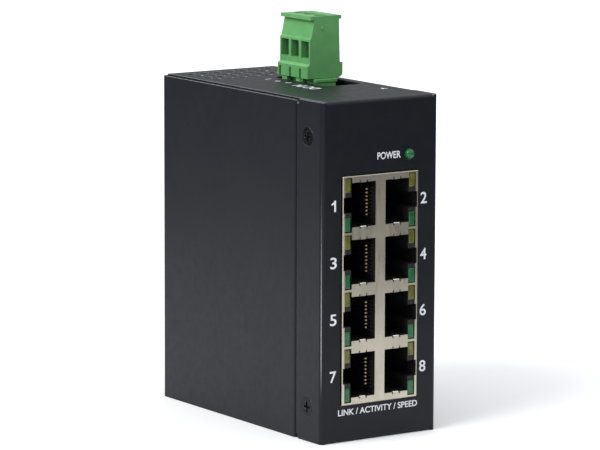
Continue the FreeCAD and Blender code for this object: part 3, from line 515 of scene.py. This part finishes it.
def make_front_chassis():
    """One folded sheet: front, top and bottom, and a flange down each side."""
    inner_front, panel_rear = FRONT + SHEET, BACK - 1.2
    sheet = prism("front_sheet", "x", (-18.3, 18.3), rounded([
        (FRONT, 0, BEND), (panel_rear, 0), (panel_rear, SHEET), (inner_front, SHEET, INNER_BEND),
        (inner_front, TOP - SHEET, INNER_BEND), (panel_rear, TOP - SHEET), (panel_rear, TOP),
        (FRONT, TOP, BEND),
    ]))
    flanges = prism("flanges", "z", (BEND, TOP - BEND), rounded([
        (-HALF, FRONT, BEND), (HALF, FRONT, BEND), (HALF, FLANGE_END), (SIDE_IN, FLANGE_END),
        (SIDE_IN, inner_front, INNER_BEND), (-SIDE_IN, inner_front, INNER_BEND),
        (-SIDE_IN, FLANGE_END), (-HALF, FLANGE_END),
    ]))
    weld(sheet, [flanges])
    for side in (-1, 1):
        flange = prism("flange", "z", (EDGE_LIFT, TOP - EDGE_LIFT), rounded([
            (HALF * side, FRONT, BEND), (18.0 * side, FRONT), (18.0 * side, inner_front),
            (SIDE_IN * side, inner_front), (SIDE_IN * side, FLANGE_END), (HALF * side, FLANGE_END)]))
        round_edges(flange, 1.0, lambda at: at.y > FLANGE_END - 0.1 and not 0.2 < at.z < TOP - 0.2, 6)
        weld(sheet, [flange])
    window = block("window", (JACK_LEFT - 0.2, JACK_RIGHT + 0.2), (FRONT - 1, FRONT + 2),
                   (JACK_LOW - 0.2, JACK_HIGH + 0.2))
    lamp_hole = rod("lamp_hole", "y", LAMP_SPOT, (FRONT - 1, FRONT + 2), 1.6)
    carve(sheet, [window, lamp_hole])
    carve(sheet, [prism("cutout", "z", (93, 97), rectangle((3.0, 16.0), (-10.5, 17.5), 3.0))])
    vents = [
        rod("vent", "z", (4.5 * column, 21.5 + 4.5 * row), (-1, TOP + 1), 1.25, sides=28)
        for row in range(4) for column in range(-3, 4)
    ]
    carve(sheet, vents)
    sinks = []
    for height in SCREW_HEIGHTS:
        at = (SCREW_LINE, height)
        sinks.append(rod("sink", "x", at, (-HALF - 0.05, -SIDE_IN + 0.05), 2.8, 1.45))
        sinks.append(rod("sink", "x", at, (SIDE_IN - 0.05, HALF + 0.05), 1.45, 2.8))
    carve(sheet, sinks)
    round_edges(sheet, 0.4, lambda at: at.z > TOP - 0.01 and 2.9 < at.x < 16.1 and -10.6 < at.y < 17.6)
    part_at(sheet, (3.0, TOP - 3.0))
    soften(sheet, 0.12)
    finish(sheet, "front_case_sheet", case_paint, "case", ["front_chassis"])


def make_rear_cover():
    """The other folded sheet: two sides and the back, with screw tabs behind the flanges."""
    cover = prism("cover", "z", (EDGE_LIFT, TOP - 0.5), rounded([
        (-HALF, COVER_FRONT), (-SIDE_IN, COVER_FRONT), (-SIDE_IN, BACK - SHEET, INNER_BEND),
        (SIDE_IN, BACK - SHEET, INNER_BEND), (SIDE_IN, COVER_FRONT), (HALF, COVER_FRONT),
        (HALF, BACK, BEND), (-HALF, BACK, BEND),
    ]))
    round_edges(cover, 1.0, lambda at: abs(at.y - COVER_FRONT) < 0.01 and not 0.2 < at.z < TOP - 0.6, 6)
    tabs = []
    for height in (SCREW_HEIGHTS[0] + 0.5, SCREW_HEIGHTS[1] - 0.5):
        outline = rectangle((-37.4, -25.3), (height - 6, height + 6), 1.0)
        tabs.append(prism("tab", "x", (-SIDE_IN - 0.01, -SIDE_IN + 1), outline))
        tabs.append(prism("tab", "x", (SIDE_IN - 1, SIDE_IN + 0.01), outline))
    weld(cover, tabs)
    holes = [rod("hole", "x", (SCREW_LINE, height), (-25, 25), 1.5) for height in SCREW_HEIGHTS]
    holes += [rod("hole", "y", at, (BACK - 3, BACK + 1), 1.5) for at in CLIP_SCREWS]
    carve(cover, holes)
    soften(cover, 0.12)
    finish(cover, "rear_case_sheet", case_paint, "case", ["rear_cover"])


def sunk_screw(name, head, neck, tip, at, head_radius, axis="x"):
    """Countersunk screw with a cross recess, its axis along x or y."""
    direction = 1 if head > neck else -1
    if direction > 0:
        screw = rod(name, axis, at, (neck, head), 1.45, head_radius, 48)
    else:
        screw = rod(name, axis, at, (head, neck), head_radius, 1.45, 48)
    weld(screw, [rod("shank", axis, at, sorted((neck + 0.02 * direction, tip)), 1.45, sides=48)])
    depth = sorted((head - 0.8 * direction, head + 0.5 * direction))
    blades = []
    for wide, tall in ((1.5, 0.33), (0.33, 1.5)):
        spans = [(at[0] - wide, at[0] + wide), (at[1] - tall, at[1] + tall)]
        spans.insert("xyz".index(axis), depth)
        blades.append(block("blade", *spans))
    carve(screw, blades)
    soften(screw, 0.10)
    return screw


def make_case_screws():
    first = sunk_screw("screw", -HALF, -SIDE_IN, -14.5, (SCREW_LINE, SCREW_HEIGHTS[0]), 2.68)
    rise = SCREW_HEIGHTS[1] - SCREW_HEIGHTS[0]
    others = [twin(first, "screw", (0, 0, rise))]
    others += [mirrored(screw, "screw", 0.0) for screw in (first, others[0])]
    for count, screw in enumerate([first] + others, start=1):
        finish(screw, f"case_screw_{count}", black_steel, "case", ["case_screws"])


# ---- sockets ---------------------------------------------------------------------------------

PORTS = [
    (2 * row + 1 + (side > 0), side, 18.69 + 15.875 * (3 - row)) for row in range(4) for side in (-1, 1)
]


def sideways(side, near, far):
    """Limits in X between two distances out from the middle of the socket block."""
    return tuple(sorted((JACK_MIDDLE + side * near, JACK_MIDDLE + side * far)))


# Middle line of a tongue, as distances back from the shield's front and out from the socket's edge
TONGUE_BEND = (
    (0.15, 1.0), (0.15, 0.45), (0.20, 0.20), (0.33, 0.0), (0.52, -0.11), (0.78, -0.15), (2.7, -0.15))


def make_shield():
    """Plated sheet bent round the socket block, with a window and bent tongues at each socket."""
    shell = prism("shield", "z", (JACK_LOW, JACK_HIGH), rounded([
        (JACK_LEFT, JACK_FRONT, 0.35), (JACK_RIGHT, JACK_FRONT), (JACK_RIGHT, JACK_FRONT + 2.5),
        (14.0, JACK_FRONT + 2.5), (14.0, JACK_REAR), (JACK_LEFT, JACK_REAR, 0.35)]))
    round_edges(shell, 0.3, lambda at: at.y < JACK_FRONT + 0.4 and not JACK_LOW < at.z < JACK_HIGH, 4)
    carve(shell, [block("hollow", (JACK_LEFT + 0.3, 16), (JACK_FRONT + 0.3, JACK_REAR - 0.3),
                        (JACK_LOW + 0.3, JACK_HIGH - 0.3))])
    through = (JACK_FRONT - 1, JACK_FRONT + 0.35)
    windows = []
    tongues = {-1: [], 1: []}
    for _, side, height in PORTS:
        windows.append(block("window", sideways(side, 1.65, 9.65), through, (height - 6.2, height + 6.2)))
        windows.append(block("window", sideways(side, 9.55, 11.9), through, (height - 7.6, height + 7.6)))
        windows.append(block("window", sideways(side, 11.8, 12.4), through, (height - 2.2, height + 2.2)))
        centre = JACK_MIDDLE + side * 5.65
        for up in (-1, 1):
            edge = height + 6.2 * up
            for way in (-1, 1):
                slit = centre + 1.15 * way
                windows.append(block(
                    "slit", (slit - 0.2, slit + 0.2), through, sorted((edge - 0.1 * up, edge + 0.55 * up))))
            bend = [(JACK_FRONT + back, edge + out * up) for back, out in TONGUE_BEND]
            tongue = prism("tongue", "x", (centre - 0.95, centre + 0.95), strip(bend, 0.29))
            tongues[up].append(soften(tongue, 0.05, 1))
    carve(shell, windows)
    soften(shell, 0.06, 2)
    finish(shell, "socket_shield", shield_plate, "case", ["jack_shield"])
    finish(join("tongues", tongues[1]), "upper_shield_tongues", shield_plate, "case",
           ["jack_shield"])
    # the lower tongues take the lighter plate, a painted highlight
    finish(join("tongues", tongues[-1]), "lower_shield_tongues", highlight_plate, "case",
           ["jack_shield"])


def make_housing():
    """Black moulded insert with eight stepped cavities and sixteen lamp pockets."""
    front = JACK_FRONT + 0.3
    housing = block("housing", (JACK_LEFT + 0.3, JACK_RIGHT), (front, JACK_REAR - 0.3),
                    (JACK_LOW + 0.3, JACK_HIGH - 0.3))
    feet = block("feet", (JACK_RIGHT - 1, 14.0), (front + 3, JACK_REAR - 0.3),
                 (JACK_LOW + 0.3, JACK_HIGH - 0.3))
    weld(housing, [feet])
    cavities = []
    slots = []
    pockets = []
    for _, side, height in PORTS:
        deep = (front - 1, front + 15)
        cavities.append(block("cavity", sideways(side, 1.65, 9.65), deep, (height - 6.2, height + 6.2)))
        slots.append(block("slot", sideways(side, 9.6, 12.4), deep, (height - 2.2, height + 2.2)))
        for levels in ((height + 3.4, height + 7.5), (height - 7.5, height - 3.4)):
            pockets.append(block("pocket", sideways(side, 9.80, 11.88), (front - 1, front + 6), levels))
    carve(housing, cavities)
    carve(housing, slots)
    carve(housing, pockets)
    combs = []
    for _, side, height in PORTS:
        for step in range(9):
            level = height + 1.016 * (step - 4)
            combs.append(block("comb", sideways(side, 1.6, 2.15), (front + 1.2, front + 5.4),
                               (level - 0.27, level + 0.27)))
    soften(housing, 0.15, 2)
    finish(join("housing", [housing] + combs), "socket_housing", black_insert, "case",
           ["jack_housing"])


def make_contacts():
    """Eight sprung wires in each socket, turned back from the web into the cavity."""
    line = [(1.80, 5.5), (1.80, 3.9), (1.86, 3.65), (2.02, 3.5), (2.22, 3.55), (2.40, 3.75),
            (3.4, 5.8), (4.6, 8.3), (5.35, 9.9), (5.62, 10.6), (5.72, 11.0)]
    mirrored_line = [(JACK_MIDDLE - out, JACK_FRONT + deep) for out, deep in line]
    first_level = PORTS[0][2] - 1.016 * 3.5
    wire = prism("contact", "z", (first_level - 0.21, first_level + 0.21), strip(mirrored_line, 0.28))
    soften(wire, 0.05, 1)
    choose(wire)
    bpy.ops.object.modifier_add(type="ARRAY")
    row = wire.modifiers[-1]
    row.count = 8
    row.use_relative_offset = False
    row.use_constant_offset = True
    row.constant_offset_displace = (0, 0, 1.016)
    bpy.ops.object.modifier_apply(modifier=row.name)
    other = mirrored(wire, "contact", JACK_MIDDLE)
    for number, side, height in PORTS:
        source = wire if side < 0 else other
        springs = twin(source, "springs", (0, 0, height - PORTS[0][2]))
        finish(springs, f"socket_{number}_springs", contact_gold, "case",
               [f"port_{number}_contacts"])
    for source in (wire, other):
        bpy.data.objects.remove(source)


def make_lenses():
    """Two small rectangular lenses beside each socket's latch slot."""
    for number, side, height in PORTS:
        for name, material, slot, node, levels in (
            ("yellow", yellow_lens, "yellow_lens", "yellow_lamps", (height + 3.43, height + 7.47)),
            ("green", green_lens, "green_lens", "green_lamps", (height - 7.47, height - 3.43)),
        ):
            lens = block("lens", sideways(side, 9.82, 11.85), (JACK_FRONT + 0.15, JACK_FRONT + 6.2), levels)
            round_edges(lens, 0.45, lambda at: at.y < JACK_FRONT + 0.2, 5)
            soften(lens, 0.05, 1)
            finish(lens, f"{name}_lens_{number}", material, "case", [node])


def make_power_lamp():
    """Round green lamp with a domed nose, a collar and two bent leads."""
    lamp = rod("lamp", "y", LAMP_SPOT, (FRONT - 1.6, FRONT + 4.4), 1.5, sides=48)
    round_edges(lamp, 1.42, lambda at: at.y < FRONT - 1.5, 9)
    collar = rod("collar", "y", LAMP_SPOT, (FRONT + 1.1, FRONT + 2.1), 1.9, sides=48)
    weld(lamp, [collar])
    soften(lamp, 0.08, 2, 60)
    finish(lamp, "power_lamp_lens", green_lens, "case", ["power_lamp"])
    for count, shift in enumerate((-1.27, 1.27), start=1):
        level = LAMP_SPOT[1] + shift
        across = rod("lead", "y", (LAMP_SPOT[0], level), (FRONT + 4.0, -32.8), 0.25, sides=16)
        back = rod("lead", "x", (-33.0, level), (LAMP_SPOT[0], 16.4), 0.25, sides=16)
        weld(across, [back])
        finish(across, f"power_lamp_lead_{count}", tinned_metal, "case", ["power_lamp"])


# ---- power terminal --------------------------------------------------------------------------

POLES = (1.84, 6.92, 12.0)
PLUG_TOP = 113.9


def make_header():
    """Green shrouded header under the cut-out, open upwards, with a stepped rim."""
    header = block("header", (5.5, 12.5), (-1.18, 15.02), (82, 96))
    weld(header, [block("rim", (5.2, 12.8), (-1.48, 15.32), (95, 96))])
    weld(header, [block("foot", (11.8, 14.0), (-1.18, 15.02), (82, 90.5))])
    tools = [block("well", (6.0, 12.0), (-0.68, 14.52), (84, 97))]
    carve(header, tools)
    carve(header, [block("pin_hole", (8.5, 9.5), (pole - 0.5, pole + 0.5), (81, 85)) for pole in POLES])
    soften(header, 0.15, 2)
    finish(header, "power_header_body", terminal_green, "case", ["power_header"])


def make_plug():
    """Green plug: wire windows on the left face, screw wells on top, ribs and latch slots below."""
    plug = prism("plug", "y", (-0.7, 14.54), rounded([
        (4.0, 112.85), (5.4, 112.85), (4.25, 107.6, 0.3), (3.8, 107.4, 0.3), (3.8, 100.3), (3.0, 99.6),
        (3.0, 96.2), (14.3, 96.2), (15.1, 97.0), (15.1, 100.4), (14.15, 100.4, 0.3),
        (13.8, 112.85), (14.6, 112.85), (14.6, PLUG_TOP), (4.0, PLUG_TOP),
    ], 3))
    tongue = prism("insertion", "z", (85.0, 96.7), rectangle((6.1, 11.9), (-0.55, 14.39), 0.4))
    weld(plug, [tongue])
    weld(plug, [
        block("rib", (3.4, 4.7), (centre - 1.3, centre + 1.3), (91.8, 96.7))
        for centre in (POLES[0] + 2.6, POLES[2] - 0.4)
    ])
    carve(plug, [
        block("wire_window", (2.0, 6.0), (pole - 1.92, pole + 1.92), (101.9, 106.7)) for pole in POLES])
    carve(plug, [
        block("pocket", (5.7, 13.0), (pole - 2.05, pole + 2.05), (99.2, 109.3)) for pole in POLES])
    carve(plug, [rod("shaft", "z", (9.2, pole), (108.8, 110.5), 1.5) for pole in POLES])
    carve(plug, [rod("well", "z", (9.2, pole), (110.3, 115), 2.05, sides=48) for pole in POLES])
    carve(plug, [block("socket", (7.9, 13.0), (pole - 1.3, pole + 1.3), (96.6, 99.3)) for pole in POLES])
    carve(plug, [block("throat", (7.9, 10.2), (pole - 1.3, pole + 1.3), (84, 97.0)) for pole in POLES])
    carve(plug, [block("slot", (2.0, 3.9), (pole + 0.8, pole + 1.8), (95.2, 98.9)) for pole in POLES])
    soften(plug, 0.16, 2)
    pip = rod("pip", "y", (8.15, 110.4), (-1.0, -0.6), 0.45, 0.6, sides=24)
    finish(join("plug", [plug, pip]), "terminal_plug_body", terminal_green, "plug",
           ["terminal_plug"])


def make_clamp_screws():
    """Slotted screws down in the plug's wells."""
    screw = rod("screw", "z", (9.2, POLES[0]), (110.35, 112.3), 1.9, sides=48)
    weld(screw, [rod("shank", "z", (9.2, POLES[0]), (105.25, 110.85), 1.4, sides=32)])
    carve(screw, [block("slot", (8.85, 9.55), (POLES[0] - 2.5, POLES[0] + 2.5), (111.4, 113.3))])
    soften(screw, 0.12)
    for count, pole in enumerate(POLES, start=1):
        copy = twin(screw, "screw", (0, pole - POLES[0], 0))
        finish(copy, f"slotted_screw_{count}", clamp_steel, f"clamp_screw_{count}",
               [f"clamp_screw_{count}"])
    bpy.data.objects.remove(screw)


# ---- print on the case -----------------------------------------------------------------------

def write(name, words, spot, size, turn, bold):
    """Flat letters lying on the case, brought to the given width and height about their middle."""
    bpy.ops.object.select_all(action="DESELECT")
    bpy.ops.object.text_add()
    letters = bpy.context.active_object
    letters.data.body = words
    letters.data.size = size[1] / 0.7
    letters.data.extrude = 0.01
    letters.data.offset = bold
    bpy.ops.object.convert(target="MESH")
    settle(name)
    return fit(letters, spot, size, turn)


def fit(letters, spot, size, turn):
    """Scale flat letters to their width and height, and put their middle at the spot."""
    corners = [Vector(corner) for corner in letters.bound_box]
    low = Vector([min(corner[axis] for corner in corners) for axis in range(3)])
    high = Vector([max(corner[axis] for corner in corners) for axis in range(3)])
    letters.data.transform(Matrix.Translation(-(low + high) / 2))
    letters.scale = (size[0] / (high.x - low.x), size[1] / (high.y - low.y), 1)
    letters.rotation_euler = turn
    letters.location = spot
    choose(letters)
    return settle(letters.name)


def numeral_one():
    """A figure one with a flag, which the plain lettering lacks."""
    return prism("one", "z", (-0.01, 0.01), [
        (0.0, 0), (0.42, 0), (0.42, 2.4), (0.10, 2.4), (-0.12, 2.05), (-0.62, 1.75),
        (-0.62, 1.38), (0.0, 1.62)])


UPRIGHT = (math.pi / 2, 0, 0)
FLAT = (0, 0, 0)
NUMERAL_LEVELS = (66.4, 50.6, 34.75, 18.8)


def make_print():
    on_front = FRONT - 0.012
    for number in range(1, 9):
        spot = (-15.6 if number % 2 else 14.75, on_front, NUMERAL_LEVELS[(number - 1) // 2])
        if number == 1:
            numeral = fit(numeral_one(), spot, (1.45, 3.15), UPRIGHT)
        else:
            numeral = write("numeral", str(number), spot, (2.15, 3.2), UPRIGHT, 0.06)
        finish(numeral, f"numeral_{number}", white_print, "case")
    on_top = TOP + 0.012
    words = [
        ("power_word", "POWER", (2.85, on_front, 79.2), (7.9, 2.0), UPRIGHT, 0.05),
        ("legend_line", "LINK / ACTIVITY / SPEED", (-0.4, on_front, 8.45), (26.9, 1.75), UPRIGHT, 0.04),
        ("plus_mark", "+", (-1.87, 7.2, on_top), (2.0, 2.0), FLAT, 0.06),
        ("supply_words", "DC IN", (-2.9, -9.0, on_top), (10.2, 3.4), (0, 0, math.pi / 2), 0.10),
        ("arrow_mark", "^", (13.4, -23.2, on_top), (1.8, 2.2), FLAT, 0.06),
    ]
    for name, text, spot, size, turn, bold in words:
        finish(write(name, text, spot, size, turn, bold), name, white_print, "case")
    thin = (on_top - 0.01, on_top + 0.01)
    minus = block("minus", (-2.5, -0.5), (12.4, 13.0), thin)
    finish(minus, "minus_mark", white_print, "case")
    earth = [block("stem", (-1.65, -1.35), (2.4, 3.6), thin)]
    for shift, reach in ((0.0, 1.0), (0.6, 0.65), (1.2, 0.3)):
        earth.append(block("bar", (-1.5 - reach, -1.5 + reach), (2.25 - shift, 2.5 - shift), thin))
    finish(join("earth", earth), "earth_mark", white_print, "case")


# ---- rail clip -------------------------------------------------------------------------------

def make_clip_screws():
    first = sunk_screw("clip_screw", BACK + 3.35, BACK + 2.1, BACK - 2.6, CLIP_SCREWS[0], 2.7, "y")
    places = [(0, 0)] + [
        (across - CLIP_SCREWS[0][0], up - CLIP_SCREWS[0][1]) for across, up in CLIP_SCREWS[1:]]
    for count, (across, up) in enumerate(places, start=1):
        copy = twin(first, "clip_screw", (across, 0, up))
        finish(copy, f"clip_screw_{count}", zinc_steel, "case", ["clip_screws"])
    bpy.data.objects.remove(first)


def make_clip_spring():
    """Coil wound from a round wire, the spring that the latch squashes when it is pulled down."""
    bpy.ops.object.select_all(action="DESELECT")
    bpy.ops.mesh.primitive_circle_add(
        vertices=10, radius=0.22, location=(0.8, 0, 0), rotation=(math.pi / 2, 0, 0))
    coil = settle("coil")
    choose(coil)
    bpy.ops.object.modifier_add(type="SCREW")
    wind = coil.modifiers[-1]
    wind.screw_offset = 1.5
    wind.iterations = 7
    wind.steps = 28
    wind.render_steps = 28
    bpy.ops.object.modifier_apply(modifier=wind.name)
    coil.location = (0, BACK + 2.2, 15.3)
    settle("coil")
    choose(coil)
    bpy.ops.object.mode_set(mode="EDIT")
    bpy.ops.mesh.select_all(action="SELECT")
    bpy.ops.mesh.normals_make_consistent(inside=False)
    pick(coil, "EDGE", lambda edge: edge.is_boundary)
    bpy.ops.mesh.edge_face_add()
    bpy.ops.object.mode_set(mode="OBJECT")
    finish(coil, "latch_spring", spring_steel, "case", ["clip_spring"])
    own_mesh(coil)


# ---- parts that keep their construction shape ------------------------------------------------

KEPT = {
    board_laminate: ["circuit_board"],
    zinc_steel: ["board_posts", "board_screws"],
    chip_resin: ["switch_chip", "upper_transformers", "lower_transformers", "regulator_chip", "input_diode"],
    bright_can: ["crystal", "input_capacitor", "output_capacitor"],
    ferrite: ["power_inductor", "line_resistors"],
    fuse_laminate: ["input_fuse"],
    ceramic: ["bypass_capacitors"],
    black_insert: ["lamp_holder"],
    tinned_metal: ["header_pins", "plug_contacts"],
    clamp_steel: ["clamp_cage_1", "clamp_cage_2", "clamp_cage_3"],
    clip_plastic: ["clip_base", "clip_latch"],
}


def finish_kept_nodes():
    for material, names in KEPT.items():
        for name in names:
            node = nodes[name]
            node.data.materials.clear()
            node.data.materials.append(material)


# ---- studio ----------------------------------------------------------------------------------

def make_studio():
    bpy.ops.object.select_all(action="DESELECT")
    bpy.ops.mesh.primitive_plane_add(size=1.0)
    floor = bpy.context.active_object
    floor.scale = (0.50, 3.4, 1)
    floor.rotation_euler = (0, 0, -math.radians(34.2))
    floor.location = (0.489, 0.808, 0)
    settle("floor")
    floor.data.materials.append(floor_white)
    world = bpy.data.worlds.new("studio")
    bpy.context.scene.world = world
    world.use_nodes = True
    tree = world.node_tree
    tree.nodes.clear()
    way = add(tree, "SeparateXYZ", {0: add(tree, "TexCoord").outputs["Generated"]})
    glow = ramp(tree, way.outputs["Z"], 0.20, 0.65, 0.24, 1.30)
    light = add(tree, "Background", {"Color": (0.955, 0.975, 1, 1), "Strength": glow})
    add(tree, "OutputWorld", {"Surface": light})
    toward = Vector((-0.80, -0.05, 0.60))
    bpy.ops.object.light_add(
        type="SUN", location=toward * 3, rotation=toward.to_track_quat("Z", "Y").to_euler())
    key = bpy.context.active_object
    key.name = "key"
    key.data.energy = 2.1
    key.data.angle = math.radians(38)


bpy.context.scene.view_settings.view_transform = "Standard"
make_front_chassis()
make_rear_cover()
make_case_screws()
make_shield()
make_housing()
make_contacts()
make_lenses()
make_power_lamp()
make_header()
make_plug()
make_clamp_screws()
make_print()
make_clip_screws()
make_clip_spring()
finish_kept_nodes()
make_studio()
